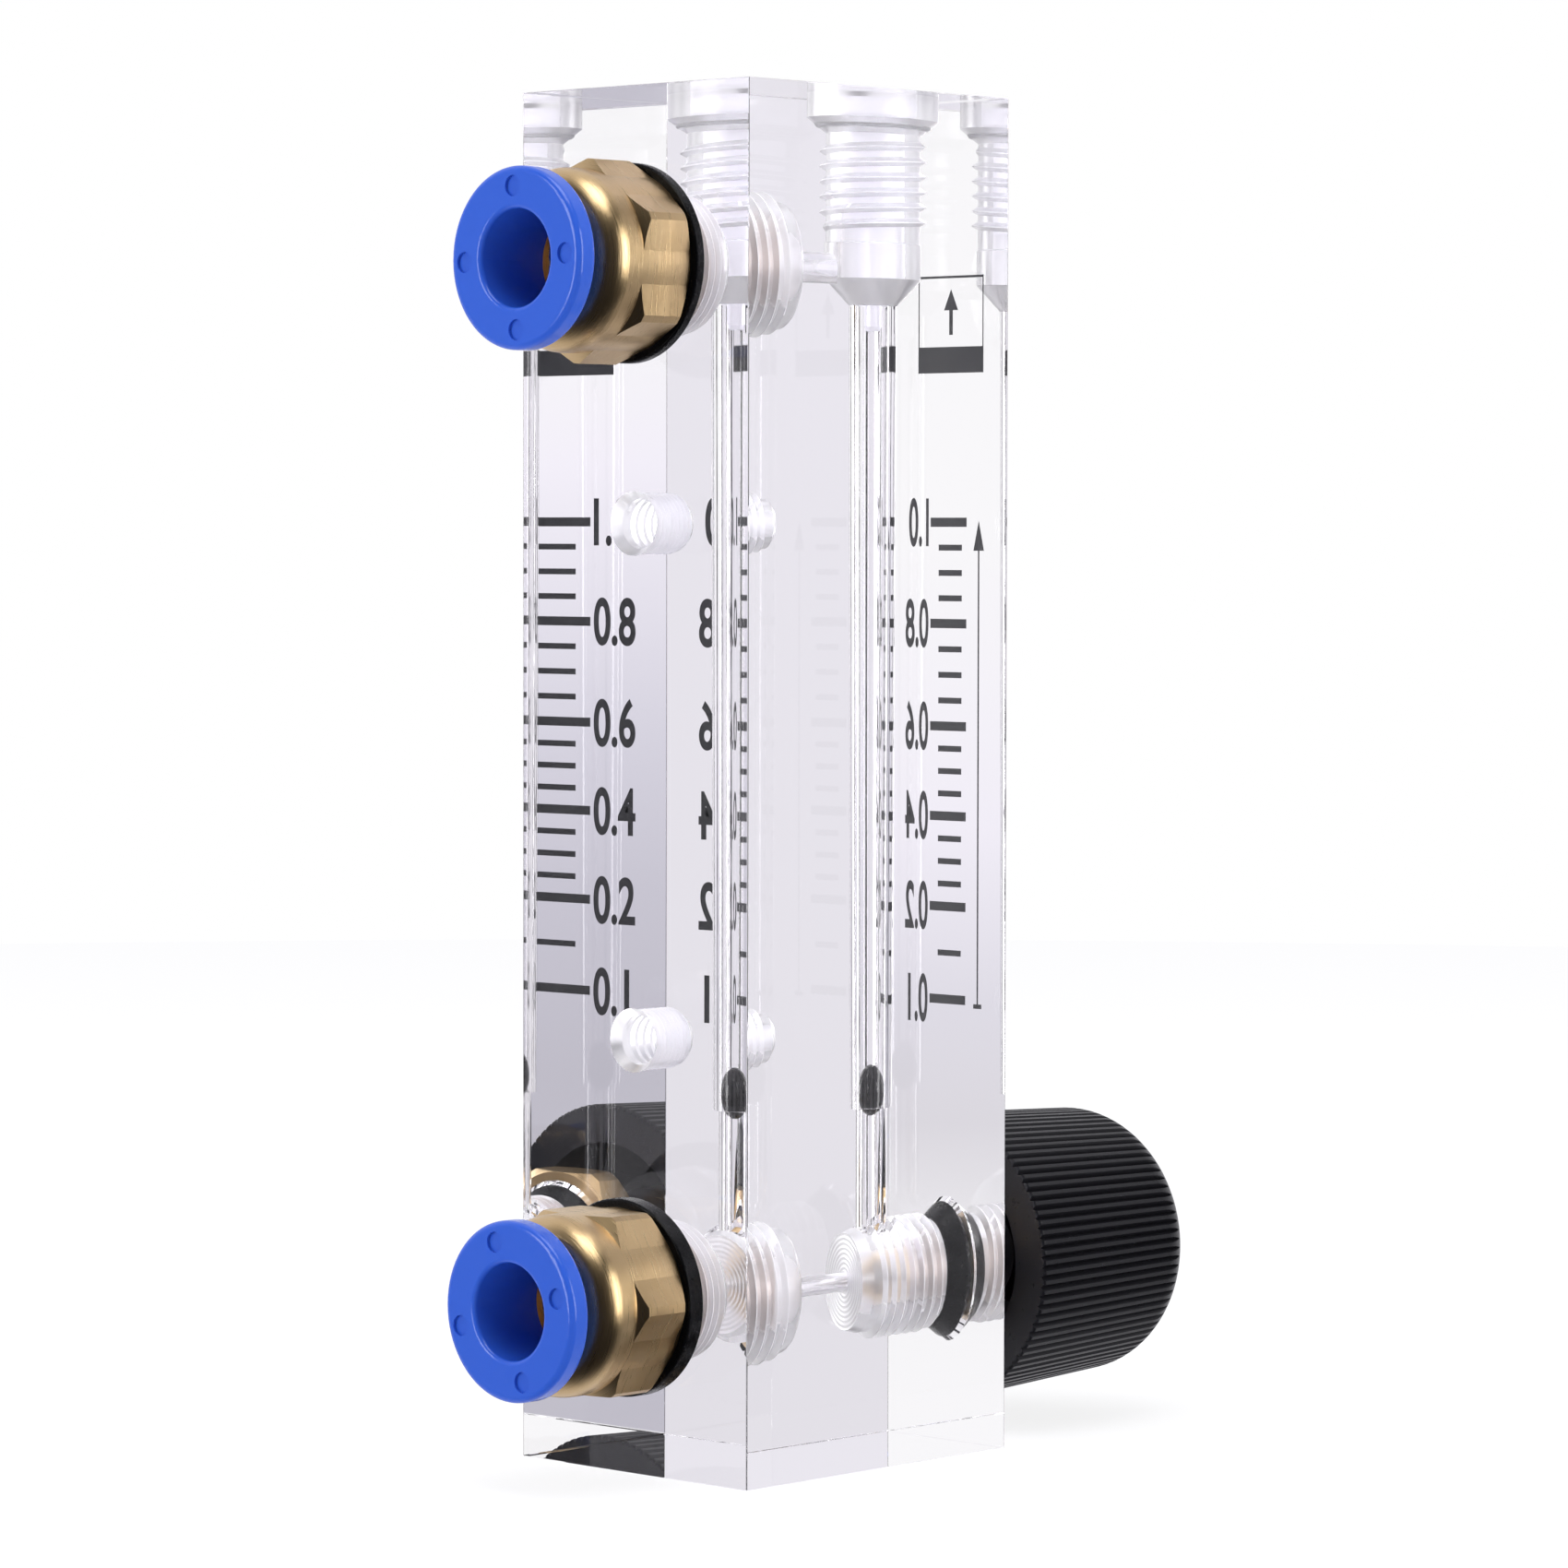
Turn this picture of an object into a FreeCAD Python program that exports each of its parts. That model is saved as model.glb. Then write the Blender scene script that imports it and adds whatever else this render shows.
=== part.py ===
import FreeCAD, Part
import math
import os

# Acrylic flow meter: a clear block with a tapered metering tube, a screwed plug on top, two push-in
# tube fittings on the back and a needle valve with a ribbed knob on the front.
# Frame: origin at the centre of the block's bottom face, +Z up, the fittings on +Y, the knob on -Y.
# Threads are drawn as plain cylinders at their pitch diameter.

# Acrylic block
block_width = 20.5
block_depth = 25.0
block_height = 90.0
block_edge = 0.2              # broken edge of the polished faces

# Metering tube, its ledge and the feed bore below it
tube_setback = 7.5            # front face to the tube's axis
ledge_height = 23.0
feed_bore_d = 2.6
tube_bottom_d = 3.5
tube_top_d = 4.0

# Chamber above the tube, measured down from the block's top
counterbore_d = 11.1
counterbore_depth = 2.7
counterbore_seat = 1.1        # height of the conical seat at its bottom
plug_thread_d = 9.0
plug_thread_length = 6.3
chamber_d = 8.15
chamber_height = 3.1
funnel_height = 1.75

# Ports in the back face
port_thread_d = 9.4
port_depth = 8.8
port_mouth_d = 9.8
inlet_height = 11.6           # above the block's bottom
outlet_drop = 11.5            # below the block's top
passage_d = 2.0               # outlet port to chamber
orifice_d = 1.3               # inlet port to valve

# Tapped mounting holes in the back face
mount_drill_d = 3.3
mount_mouth_d = 4.2
mount_depth = 7.7
mount_spacing = 33.5

# Fine threads and running clearances
fine_pitch = 1.0              # of the ports, the plug and the valve bushing
pitch_factor = 0.6495         # thread depth from crest to pitch line, both sides, per pitch
thread_gap = 0.04             # radial, between the drawn male and female threads
running_gap = 0.05            # radial, between sliding pieces
seal_gap = 0.03               # round rubber that is drawn unsqueezed
shank_round = 0.4             # inner end of the threaded shanks

# Top plug with the float's upper stop
plug_head_gap = 0.15
plug_head_sink = 0.3          # head below the block's top
plug_slot_width = 1.6
plug_slot_depth = 0.7
plug_shank_end = 1.2          # above the bottom of the plug's thread
stop_stem_d = 3.5
stop_tip_d = 2.2
stop_tip_depth = 1.65         # tip's end below the top of the tube
plug_ring_d = 0.8             # thickness of the plug's O-ring

# Float
float_d = 3.4
float_seat_gap = 0.02

# Push-in fittings; lengths run outwards from the back of the hexagon
fitting_thread_length = 7.2
fitting_through_d = 4.0
socket_d = 6.3
socket_depth = 5.0            # tube stop behind the hexagon's back
hexagon_flats = 11.6
hexagon_corner_d = 13.1
hexagon_length = 4.3
barrel_d = 11.8
barrel_end = 7.35
barrel_round = 1.9
gland_d = 8.8                 # counterbore that holds the seal and the claw
gland_floor = 0.3
seal_length = 1.7
seal_inner_d = 5.8
claw_length = 1.3
claw_tip_d = 5.9
claw_sheet = 0.22
claw_slots = 8
claw_slot_width = 0.35
retainer_inner_d = 7.3
gasket_d = 12.9
gasket_thickness = {"inlet": 1.3, "outlet": 0.75}
hexagon_turn = {"inlet": 0.0, "outlet": 24.5}

# Release rings
ring_face = 9.95
ring_d = 11.66
ring_flange = 1.6
ring_sleeve_d = 7.2
ring_bore_d = 6.25
ring_lead_in = 0.3
ring_edge_round = 0.4
release_travel = 1.0
dimple_d = 1.35
dimple_depth = 0.2
dimple_radius = 4.55
dimple_turn = {"inlet": 16.0, "outlet": 2.0}

# Needle valve; lengths run outwards from the block's front face
valve_thread_d = 8.0
valve_depth = 10.1
valve_mouth_d = 9.8
valve_mouth_depth = 1.9
bushing_reach = 5.7
bushing_flats = 11.0
bushing_corner_d = 12.2
bushing_head = 2.8
bushing_nose_d = 6.6
bushing_nose = 2.0
bushing_neck_d = 5.9
piston_bore_d = 4.2
piston_bore_length = 6.4
stem_thread_d = 4.0
stem_pitch = 0.7
needle_d = 1.5
needle_point = 7.0
needle_entry = 2.7           # tip past the orifice's mouth at rest
piston_length = 2.6
piston_gap = 0.06
open_travel = 0.8             # outward travel left at rest
stem_seal_d = 0.86
seal_groove_width = 1.3
seal_groove_d = 2.4

# Knob
knob_rear = 4.6
knob_length = 17.0
knob_rear_d = 19.7
knob_draft = 0.045            # radius lost per mm towards the front
knob_round = 3.0
knob_crown = 0.35
knob_hollow_d = 14.4
knob_hollow_depth = 12.2
knob_hub_d = 7.4
knob_hub_setback = 3.8        # hub's end inside the rear rim
knob_shaft_d = 3.2
knob_shaft_engage = 9.0
rib_count = 90
rib_depth = 0.32

Vec = FreeCAD.Vector
OUT_BACK = Vec(0, 1, 0)
OUT_FRONT = Vec(0, -1, 0)
UP = Vec(0, 0, 1)
HERE = Vec(0, 0, 0)

back_y = block_depth / 2
front_y = -block_depth / 2
tube_y = front_y + tube_setback
thread_top_z = block_height - counterbore_depth
chamber_top_z = thread_top_z - plug_thread_length
chamber_floor_z = chamber_top_z - chamber_height
tube_top_z = chamber_floor_z - funnel_height
outlet_height = block_height - outlet_drop
port_height = {"inlet": inlet_height, "outlet": outlet_height}
orifice_y = front_y + valve_depth


def pitch_line_d(nominal, pitch):
    """Diameter at which a thread is drawn."""
    return nominal - pitch_factor * pitch


def outline(corners):
    """Closed wire in the XZ plane through (radius, length[, rounding]) corners."""
    points = [Vec(corner[0], 0, corner[1]) for corner in corners]
    ends = []
    edges = []
    for index, corner in enumerate(corners):
        here = points[index]
        if len(corner) < 3:
            ends.append((here, here))
            continue
        back = (points[index - 1] - here).normalize()
        ahead = (points[(index + 1) % len(points)] - here).normalize()
        half = back.getAngle(ahead) / 2
        inward = (back + ahead).normalize()
        reach = corner[2] / math.tan(half)
        start = here + back * reach
        end = here + ahead * reach
        middle = here + inward * (corner[2] / math.sin(half) - corner[2])
        edges.append(Part.Arc(start, middle, end).toShape())
        ends.append((start, end))
    for index in range(len(points)):
        leave = ends[index - 1][1]
        arrive = ends[index][0]
        if leave.distanceToPoint(arrive) > 1e-7:
            edges.append(Part.makeLine(leave, arrive))
    return Part.Wire(Part.__sortEdges__(edges))


def turned(corners, origin, direction):
    """Body of revolution: corners give (radius, length), the length runs along direction."""
    solid = Part.Face(outline(corners)).revolve(HERE, UP, 360)
    return placed(solid, origin, direction)


def placed(solid, origin, direction):
    """Copy of a solid built along +Z, moved to origin with its +Z turned to direction."""
    moved = solid.copy()
    moved.Placement = FreeCAD.Placement(origin, FreeCAD.Rotation(UP, direction))
    return moved


def rod(diameter, start, end, origin, direction):
    """Cylinder from start to end along direction."""
    base = origin + direction * start
    return Part.makeCylinder(diameter / 2, end - start, base, direction)


def hexagon(flats, corner_d, start, end, turn):
    """Hexagonal prism along +Z with its corners turned down and its ends chamfered."""
    corner_r = flats / math.sqrt(3)
    angles = [math.radians(turn + 60 * side) for side in range(7)]
    wire = Part.makePolygon([Vec(corner_r * math.cos(a), corner_r * math.sin(a), start) for a in angles])
    prism = Part.Face(wire).extrude(Vec(0, 0, end - start))
    chamfer = (corner_r - flats / 2) * math.tan(math.radians(30))
    envelope = [(0, start), (flats / 2, start), (corner_d / 2, start + chamfer),
                (corner_d / 2, end - chamfer), (flats / 2, end), (0, end)]
    return prism.common(turned(envelope, HERE, UP))


def torus(mean_r, thickness, origin, direction):
    return Part.makeTorus(mean_r, thickness / 2, origin, direction)


def port_origin(side):
    return Vec(0, back_y, port_height[side])


def fitting_origin(side):
    """Centre of the hexagon's back, which lies on the gasket."""
    return port_origin(side) + OUT_BACK * gasket_thickness[side]


valve_origin = Vec(0, front_y, inlet_height)


def tube_cavity():
    """Feed bore, ledge, tapered tube, funnel, chamber, plug thread and counterbore in one turned form."""
    feed_bottom = inlet_height
    seat_z = thread_top_z + counterbore_seat
    thread_r = pitch_line_d(plug_thread_d, fine_pitch) / 2
    corners = [(0, feed_bottom), (feed_bore_d / 2, feed_bottom), (feed_bore_d / 2, ledge_height),
               (tube_bottom_d / 2, ledge_height), (tube_top_d / 2, tube_top_z),
               (chamber_d / 2, chamber_floor_z), (chamber_d / 2, chamber_top_z),
               (thread_r, chamber_top_z), (thread_r, thread_top_z), (counterbore_d / 2, seat_z),
               (counterbore_d / 2, block_height + 1), (0, block_height + 1)]
    return turned(corners, Vec(0, tube_y, 0), UP)


def mouth_cone(mouth_d, inner_d, depth, origin, outward):
    """Countersink that opens from inner_d to mouth_d over depth at the surface."""
    slope = (mouth_d - inner_d) / 2 / depth
    beyond = 0.5
    corners = [(0, -depth), (inner_d / 2, -depth), (mouth_d / 2 + slope * beyond, beyond), (0, beyond)]
    return turned(corners, origin, outward)


def port_cavity(side):
    drawn_d = pitch_line_d(port_thread_d, fine_pitch)
    bore = rod(drawn_d, -port_depth, 1, port_origin(side), OUT_BACK)
    depth = (port_mouth_d - drawn_d) / 2
    return bore.fuse(mouth_cone(port_mouth_d, drawn_d, depth, port_origin(side), OUT_BACK))


def mount_cavity(height):
    origin = Vec(0, back_y, height)
    bore = rod(mount_drill_d, -mount_depth, 1, origin, OUT_BACK)
    depth = (mount_mouth_d - mount_drill_d) / 2
    return bore.fuse(mouth_cone(mount_mouth_d, mount_drill_d, depth, origin, OUT_BACK))


def valve_cavity():
    drawn_d = pitch_line_d(valve_thread_d, fine_pitch)
    bore = rod(drawn_d, -valve_depth, 1, valve_origin, OUT_FRONT)
    return bore.fuse(mouth_cone(valve_mouth_d, drawn_d, valve_mouth_depth, valve_origin, OUT_FRONT))


def block():
    body = Part.makeBox(block_width, block_depth, block_height, Vec(-block_width / 2, front_y, 0))
    body = body.makeChamfer(block_edge, body.Edges)
    port_bottom_y = back_y - port_depth
    orifice = rod(orifice_d, orifice_y - 0.5, port_bottom_y + 0.5, Vec(0, 0, inlet_height), OUT_BACK)
    passage = rod(passage_d, tube_y, port_bottom_y + 0.5, Vec(0, 0, outlet_height), OUT_BACK)
    mounts = [mount_cavity(block_height / 2 + half * mount_spacing / 2) for half in (-1, 1)]
    ports = [port_cavity(side) for side in port_height]
    return body.cut([tube_cavity(), orifice, passage, valve_cavity()] + mounts + ports)


def top_plug():
    """Screwed plug: slotted head on the conical seat, shank, stem and the float's stop tip."""
    head_top = block_height - plug_head_sink
    head_r = counterbore_d / 2 - plug_head_gap
    shank_r = pitch_line_d(plug_thread_d, fine_pitch) / 2 - thread_gap
    shank_end = chamber_top_z + plug_shank_end
    head_base = plug_ring_place()[1] + plug_ring_d / 2 + seal_gap
    tip_end = tube_top_z - stop_tip_depth
    taper_start = chamber_floor_z - funnel_height / 2
    corners = [(0, tip_end), (stop_tip_d / 2, tip_end, 0.3), (stop_tip_d / 2, taper_start),
               (stop_stem_d / 2, chamber_floor_z), (stop_stem_d / 2, shank_end), (shank_r, shank_end),
               (shank_r, head_base), (head_r, head_base), (head_r, head_top), (0, head_top)]
    body = turned(corners, Vec(0, tube_y, 0), UP)
    slot = Part.makeBox(counterbore_d, plug_slot_width, plug_slot_depth + 1,
                        Vec(-counterbore_d / 2, tube_y - plug_slot_width / 2, head_top - plug_slot_depth))
    return body.cut(slot)


def plug_ring_place():
    """Mean radius and height of the plug's O-ring: round the shank and down on the conical seat."""
    thread_r = pitch_line_d(plug_thread_d, fine_pitch) / 2
    mean_r = thread_r - thread_gap + seal_gap + plug_ring_d / 2
    seat_angle = math.atan2(counterbore_seat, counterbore_d / 2 - thread_r)
    above_seat = (plug_ring_d / 2 + seal_gap) / math.cos(seat_angle)
    return mean_r, thread_top_z + (mean_r - thread_r) * math.tan(seat_angle) + above_seat


def top_plug_o_ring():
    mean_r, height = plug_ring_place()
    return torus(mean_r, plug_ring_d, Vec(0, tube_y, height), UP)


def float_ball():
    seat_rise = math.sqrt((float_d / 2) ** 2 - (feed_bore_d / 2) ** 2)
    return Part.makeSphere(float_d / 2, Vec(0, tube_y, ledge_height + seat_rise + float_seat_gap))


def fitting_body(side):
    """Brass body: threaded shank, hexagon and rounded barrel, bored for tube, seal and claw."""
    shank_r = pitch_line_d(port_thread_d, fine_pitch) / 2 - thread_gap
    shank = turned([(0, -fitting_thread_length), (shank_r, -fitting_thread_length, shank_round),
                    (shank_r, 0), (0, 0)], HERE, UP)
    barrel = turned([(0, 0), (barrel_d / 2, 0), (barrel_d / 2, barrel_end, barrel_round),
                     (0, barrel_end)], HERE, UP)
    nut = hexagon(hexagon_flats, hexagon_corner_d, 0, hexagon_length, hexagon_turn[side])
    end = barrel_end + 1
    bore = turned([(0, -fitting_thread_length - 1), (fitting_through_d / 2, -fitting_thread_length - 1),
                   (fitting_through_d / 2, -socket_depth), (socket_d / 2, -socket_depth),
                   (socket_d / 2, gland_floor), (gland_d / 2, gland_floor), (gland_d / 2, end), (0, end)],
                  HERE, UP)
    whole = shank.fuse([barrel, nut]).cut(bore).removeSplitter()
    return placed(whole, fitting_origin(side), OUT_BACK)


def tube_seal(side):
    """Rubber ring with a rounded lip, at the bottom of the gland."""
    start = gland_floor
    end = gland_floor + seal_length
    corners = [(seal_inner_d / 2, start, 0.4), (gland_d / 2 - seal_gap, start, 0.2),
               (gland_d / 2 - seal_gap, end, 0.2), (seal_inner_d / 2, end, 0.4)]
    return turned(corners, fitting_origin(side), OUT_BACK)


def claw(side):
    """Steel claw ring: a flat rim and a slotted cone whose fingers point along the tube's way in."""
    start = gland_floor + seal_length + seal_gap
    rim_r = gland_d / 2 - running_gap
    rim_inner = retainer_inner_d / 2 + 0.1
    top = start + claw_length
    tip_r = claw_tip_d / 2
    corners = [(rim_r, top), (rim_r, top - claw_sheet), (rim_inner, top - claw_sheet),
               (tip_r, start), (tip_r, start + claw_sheet), (rim_inner - claw_sheet / 2, top)]
    ring = turned(corners, HERE, UP)
    slots = []
    for index in range(claw_slots):
        slot = Part.makeBox(rim_inner, claw_slot_width, claw_length + 1,
                            Vec(0, -claw_slot_width / 2, start - 0.5))
        slot.rotate(HERE, UP, 360 / claw_slots * index)
        slots.append(slot)
    return placed(ring.cut(slots), fitting_origin(side), OUT_BACK)


def claw_top():
    return gland_floor + seal_length + seal_gap + claw_length


def retainer(side):
    """Brass ring pressed into the mouth; it keeps the claw in and guides the release ring."""
    start = claw_top()
    end = barrel_end - 0.2
    corners = [(retainer_inner_d / 2, start), (gland_d / 2, start), (gland_d / 2, end),
               (retainer_inner_d / 2, end, 0.3)]
    return turned(corners, fitting_origin(side), OUT_BACK)


def release_ring(side):
    """Blue collet: a flange to press and a thin sleeve that reaches the claw."""
    flange_back = ring_face - ring_flange
    sleeve_end = claw_top() + release_travel + running_gap
    corners = [(ring_bore_d / 2, sleeve_end), (ring_sleeve_d / 2, sleeve_end, 0.2),
               (ring_sleeve_d / 2, flange_back), (ring_d / 2, flange_back, ring_edge_round),
               (ring_d / 2, ring_face, ring_edge_round), (ring_bore_d / 2, ring_face, ring_lead_in)]
    ring = turned(corners, HERE, UP)
    dimples = []
    for quarter in range(4):
        angle = math.radians(dimple_turn[side] + 90 * quarter)
        across = dimple_radius * math.cos(angle)
        up = dimple_radius * math.sin(angle)
        centre = Vec(across, up, ring_face - dimple_depth)
        dimples.append(Part.makeCylinder(dimple_d / 2, dimple_depth + 1, centre))
    return placed(ring.cut(dimples), fitting_origin(side), OUT_BACK)


def gasket(side):
    inner_r = pitch_line_d(port_thread_d, fine_pitch) / 2
    corners = [(inner_r, 0), (gasket_d / 2, 0, 0.15), (gasket_d / 2, gasket_thickness[side], 0.15),
               (inner_r, gasket_thickness[side])]
    return turned(corners, port_origin(side), OUT_BACK)


def valve_bushing():
    """Brass bushing: threaded shank and O-ring neck in the block, hexagon and nose outside."""
    thread_r = pitch_line_d(valve_thread_d, fine_pitch) / 2 - thread_gap
    neck_r = bushing_neck_d / 2
    nose_end = bushing_head + bushing_nose
    shank = turned([(0, -bushing_reach), (thread_r, -bushing_reach, shank_round),
                    (thread_r, -valve_mouth_depth), (neck_r, -valve_mouth_depth), (neck_r, 0), (0, 0)],
                   HERE, UP)
    head = hexagon(bushing_flats, bushing_corner_d, 0, bushing_head, 0)
    nose = turned([(0, bushing_head), (bushing_nose_d / 2, bushing_head),
                   (bushing_nose_d / 2, nose_end, 0.5), (0, nose_end)], HERE, UP)
    stem_bore_r = pitch_line_d(stem_thread_d, stem_pitch) / 2
    step = piston_bore_length - bushing_reach
    piston_r = piston_bore_d / 2
    start = -bushing_reach - 1
    bore = turned([(0, start), (piston_r, start), (piston_r, step), (stem_bore_r, step),
                   (stem_bore_r, nose_end + 1), (0, nose_end + 1)], HERE, UP)
    whole = shank.fuse([head, nose]).cut(bore).removeSplitter()
    return placed(whole, valve_origin, OUT_FRONT)


def valve_o_ring():
    """O-ring squeezed into the countersunk mouth, round the bushing's neck."""
    drawn_r = pitch_line_d(valve_thread_d, fine_pitch) / 2
    inner_r = bushing_neck_d / 2 + seal_gap
    depth = valve_mouth_depth - seal_gap
    slope = (valve_mouth_d / 2 - drawn_r) / valve_mouth_depth
    corners = [(inner_r, -depth, 0.35), (drawn_r, -depth, 0.3),
               (valve_mouth_d / 2 - slope * seal_gap - seal_gap, -seal_gap, 0.3), (inner_r, -seal_gap, 0.35)]
    return turned(corners, valve_origin, OUT_FRONT)


def stem_layout():
    """Places along the stem, outwards from the block's front face, at rest."""
    shoulder = piston_bore_length - bushing_reach - open_travel
    piston_end = shoulder - piston_length
    return {"shoulder": shoulder, "piston_end": piston_end, "groove": (shoulder + piston_end) / 2}


def needle_stem():
    """Valve stem: needle point, piston with its seal groove, threaded rod and knob seat."""
    place = stem_layout()
    tip = -valve_depth - needle_entry
    groove_start = place["groove"] - seal_groove_width / 2
    groove_end = place["groove"] + seal_groove_width / 2
    piston_r = piston_bore_d / 2 - piston_gap
    thread_r = pitch_line_d(stem_thread_d, stem_pitch) / 2 - running_gap
    seat_r = knob_shaft_d / 2
    hub_end = knob_rear + knob_hub_setback
    groove_r = seal_groove_d / 2
    corners = [(0, tip), (needle_d / 2, tip + needle_point), (needle_d / 2, place["piston_end"]),
               (piston_r, place["piston_end"], 0.2), (piston_r, groove_start), (groove_r, groove_start),
               (groove_r, groove_end), (piston_r, groove_end), (piston_r, place["shoulder"], 0.2),
               (thread_r, place["shoulder"]), (thread_r, hub_end), (seat_r, hub_end),
               (seat_r, hub_end + knob_shaft_engage, 0.3), (0, hub_end + knob_shaft_engage)]
    return turned(corners, valve_origin, OUT_FRONT)


def stem_o_ring():
    mean_r = seal_groove_d / 2 + seal_gap + stem_seal_d / 2
    return torus(mean_r, stem_seal_d, valve_origin + OUT_FRONT * stem_layout()["groove"], OUT_FRONT)


def knob():
    """Moulded knob: drafted and rounded cap with fine ribs, hollow behind, with a hub for the stem."""
    front = knob_rear + knob_length
    rear_r = knob_rear_d / 2
    front_r = rear_r - knob_draft * knob_length
    cap = turned([(0, knob_rear), (rear_r, knob_rear, 0.2), (front_r, front, knob_round), (0, front)],
                 HERE, UP)
    crown_r = front_r - knob_round
    sphere_r = (crown_r ** 2 + knob_crown ** 2) / (2 * knob_crown)
    crown = Part.makeSphere(sphere_r, Vec(0, 0, front + knob_crown - sphere_r))
    crown = crown.common(Part.makeCylinder(crown_r, knob_crown + 1, Vec(0, 0, front - 0.5)))
    hollow_end = knob_rear + knob_hollow_depth
    hub_start = knob_rear + knob_hub_setback
    hollow = turned([(0, knob_rear - 1), (knob_hollow_d / 2, knob_rear - 1),
                     (knob_hollow_d / 2 - 0.3, hollow_end, 0.8), (knob_hub_d / 2, hollow_end, 0.5),
                     (knob_hub_d / 2, hub_start), (0, hub_start)], HERE, UP)
    shaft = Part.makeCylinder(knob_shaft_d / 2, knob_shaft_engage + 0.2, Vec(0, 0, hub_start))
    body = cap.fuse(crown).cut([hollow, shaft] + rib_grooves(rear_r))
    return placed(body, valve_origin, OUT_FRONT)


def rib_grooves(rear_r):
    """Triangular grooves that follow the drafted side and run out on the rounded front edge."""
    half_width = math.pi * rear_r / rib_count * 0.62
    start = knob_rear - 1
    end = knob_rear + knob_length - knob_round * 0.35
    beyond = 0.4
    grooves = []
    for index in range(rib_count):
        sections = []
        for along in (start, end):
            surface_r = rear_r - knob_draft * (along - knob_rear)
            narrow = surface_r / rear_r
            spread = half_width * narrow * (rib_depth + beyond) / rib_depth
            sections.append(Part.makePolygon([Vec(surface_r - rib_depth, 0, along),
                                              Vec(surface_r + beyond, spread, along),
                                              Vec(surface_r + beyond, -spread, along),
                                              Vec(surface_r - rib_depth, 0, along)]))
        groove = Part.makeLoft(sections, True, True)
        groove.rotate(HERE, UP, 360 / rib_count * index)
        grooves.append(groove)
    return grooves


def pieces():
    """Every node's solid by name."""
    solids = {"block": block(), "top_plug": top_plug(), "top_plug_o_ring": top_plug_o_ring(),
              "float_ball": float_ball(), "valve_bushing": valve_bushing(), "valve_o_ring": valve_o_ring(),
              "needle_stem": needle_stem(), "stem_o_ring": stem_o_ring(), "knob": knob()}
    for side in port_height:
        solids[side + "_gasket"] = gasket(side)
        solids[side + "_body"] = fitting_body(side)
        solids[side + "_tube_seal"] = tube_seal(side)
        solids[side + "_claw"] = claw(side)
        solids[side + "_retainer"] = retainer(side)
        solids[side + "_release_ring"] = release_ring(side)
    return solids


def closed_travel():
    """How far the needle can still go in before it seats in the orifice."""
    seated_entry = needle_point * orifice_d / needle_d
    return seated_entry - needle_entry - running_gap


def float_travel():
    """How far the ball can rise before it meets the plug's tip."""
    seat_rise = math.sqrt((float_d / 2) ** 2 - (feed_bore_d / 2) ** 2)
    ball_top = ledge_height + seat_rise + float_seat_gap + float_d / 2
    return tube_top_z - stop_tip_depth - ball_top - running_gap


def main():
    os.makedirs("parts", exist_ok=True)
    for name, solid in pieces().items():
        solid.exportStep("parts/" + name + ".step")
        print(name, "volume %.2f mm3" % solid.Volume, "solids", len(solid.Solids), "valid", solid.isValid())
    print("valve travel: in %.3f, out %.3f mm" % (closed_travel(), open_travel))
    print("float travel: %.3f mm" % float_travel())


main()
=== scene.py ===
import math

import bmesh
import bpy
from mathutils import Matrix, Vector


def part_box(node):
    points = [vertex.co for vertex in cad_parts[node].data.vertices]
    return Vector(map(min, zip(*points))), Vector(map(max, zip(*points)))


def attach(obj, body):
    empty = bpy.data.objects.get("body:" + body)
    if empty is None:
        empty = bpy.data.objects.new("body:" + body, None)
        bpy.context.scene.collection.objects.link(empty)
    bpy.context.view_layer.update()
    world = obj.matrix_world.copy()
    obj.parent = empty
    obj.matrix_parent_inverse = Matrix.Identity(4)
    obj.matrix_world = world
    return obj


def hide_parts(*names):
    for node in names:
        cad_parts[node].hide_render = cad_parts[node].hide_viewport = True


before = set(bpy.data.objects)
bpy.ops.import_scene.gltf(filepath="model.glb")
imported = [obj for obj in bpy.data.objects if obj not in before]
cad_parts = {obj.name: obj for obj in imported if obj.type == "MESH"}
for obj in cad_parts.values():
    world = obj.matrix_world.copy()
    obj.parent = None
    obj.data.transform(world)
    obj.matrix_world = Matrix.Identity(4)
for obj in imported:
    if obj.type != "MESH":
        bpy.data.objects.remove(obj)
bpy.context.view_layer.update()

# Looks of a small acrylic flow meter. The clear block, its plug, the threads inside it and the print on its
# front are drawn here; the other solids keep their mesh and get a material.
# The pieces are drawn in millimetres and shrunk to the frame's metres when they are finished.
MM = 0.001
BACK, FRONT, UP = Vector((0, 1, 0)), Vector((0, -1, 0)), Vector((0, 0, 1))


def node_box(name):
    """Lowest and highest corner of a CAD node, in millimetres."""
    low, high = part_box(name)
    return low / MM, high / MM


block_low, block_high = node_box("block")
ball_low, ball_high = node_box("float_ball")
tube_y = (ball_low.y + ball_high.y) / 2
port_height = {side: sum(corner.z for corner in node_box(side + "_body")) / 2 for side in ("inlet", "outlet")}
hexagon_back = {side: node_box(side + "_gasket")[1].y for side in port_height}
valve_height = sum(corner.z for corner in node_box("needle_stem")) / 2

# Sizes of the acrylic block and its holes, in millimetres. Lengths with START are measured out of the block
# from the face that the hole opens in.
BLOCK_EDGE = 0.07
SEAT_GAP = 0.01                  # air between the block and what is pressed on its front and back faces
LEDGE_HEIGHT = 23.0
FEED_BORE_D = 2.6
TUBE_D = (3.5, 4.0)              # at the ledge and at the top
TUBE_TOP = 76.15
CHAMBER_FLOOR = 77.9
CHAMBER_D = 8.15
PLUG_THREAD_D = 9.0
PLUG_THREAD_START = 80.4         # above the block's bottom
COUNTERBORE_D = 11.1
COUNTERBORE_FLOOR = 88.4
PORT_THREAD_D = 9.4
PORT_DEPTH = 8.8
PORT_MOUTH_D = 9.8
PORT_END_ROUND = 0.6
PORT_THREAD_START = -8.2
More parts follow.
